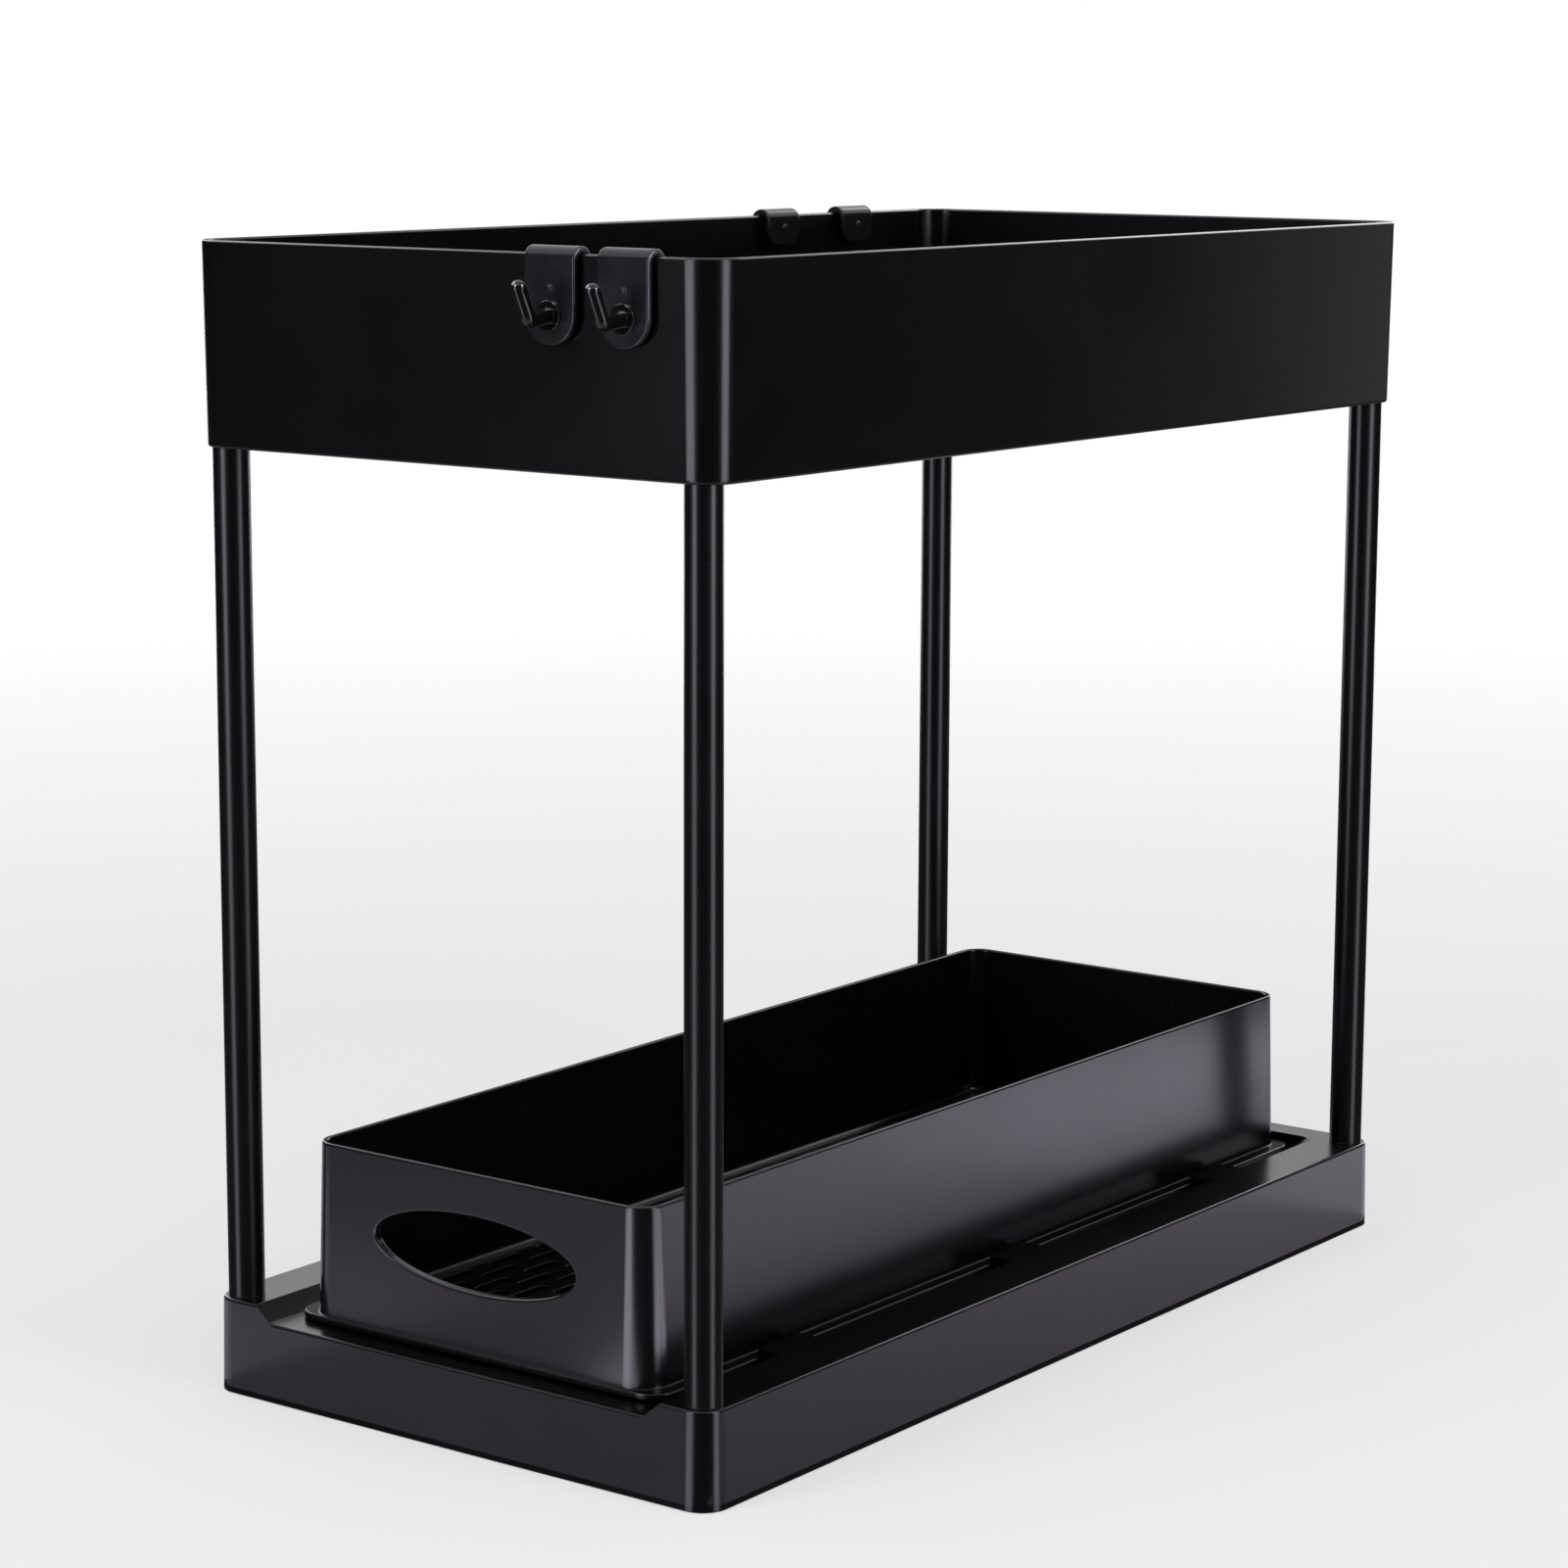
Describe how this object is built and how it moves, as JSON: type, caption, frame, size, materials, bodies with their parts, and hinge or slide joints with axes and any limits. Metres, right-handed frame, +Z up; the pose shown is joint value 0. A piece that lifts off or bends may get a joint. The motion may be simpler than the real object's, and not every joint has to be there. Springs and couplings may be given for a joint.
{
  "type": "under sink organizer",
  "caption": "Two-tier under sink organizer: a moulded base with a sliding drawer, slim posts and a deep upper tray with hooks that hang on its rim.",
  "frame": {"origin": "on the floor, below the middle of the four posts", "axes": "+Z up, +Y from the drawer's front to its back, +X to the right seen from the front"},
  "size_m": [0.2319, 0.4358, 0.3823],
  "materials": {
    "moulded_black": "satin moulded black",
    "moulded_fitting": "satin moulded black",
    "coated_tube": "satin black powder coat",
    "coated_strip": "satin black coat",
    "coated_peg": "gloss black coat"
  },
  "bodies": {
    "frame": {"base": "moulded_black", "upper_tray": "moulded_black", "post_front_left": "coated_tube", "post_foot_front_left": "moulded_fitting", "post_plug_front_left": "moulded_fitting", "post_front_right": "coated_tube", "post_foot_front_right": "moulded_fitting", "post_plug_front_right": "moulded_fitting", "post_rear_left": "coated_tube", "post_foot_rear_left": "moulded_fitting", "post_plug_rear_left": "moulded_fitting", "post_rear_right": "coated_tube", "post_foot_rear_right": "moulded_fitting", "post_plug_rear_right": "moulded_fitting"},
    "drawer": {"drawer": "moulded_black"},
    "hook_front_left": {"hook_clip_front_left": "coated_strip", "hook_peg_front_left": "coated_peg"},
    "hook_front_right": {"hook_clip_front_right": "coated_strip", "hook_peg_front_right": "coated_peg"},
    "hook_side_front": {"hook_clip_side_front": "coated_strip", "hook_peg_side_front": "coated_peg"},
    "hook_side_rear": {"hook_clip_side_rear": "coated_strip", "hook_peg_side_rear": "coated_peg"}
  },
  "joints": [
    {"name": "drawer_slide", "type": "slide", "parent": "frame", "child": "drawer", "axis": [0, -1, 0], "range_m": [0, 0.3]},
    {"name": "hook_front_left_slide", "type": "slide", "parent": "frame", "child": "hook_front_left", "axis": [1, 0, 0], "range_m": [-0.13, 0.0038]},
    {"name": "hook_front_right_slide", "type": "slide", "parent": "frame", "child": "hook_front_right", "axis": [1, 0, 0], "range_m": [-0.0038, 0.01]},
    {"name": "hook_side_front_slide", "type": "slide", "parent": "frame", "child": "hook_side_front", "axis": [0, 1, 0], "range_m": [-0.286, 0.0135]},
    {"name": "hook_side_rear_slide", "type": "slide", "parent": "frame", "child": "hook_side_rear", "axis": [0, 1, 0], "range_m": [-0.0135, 0.033]}
  ]
}
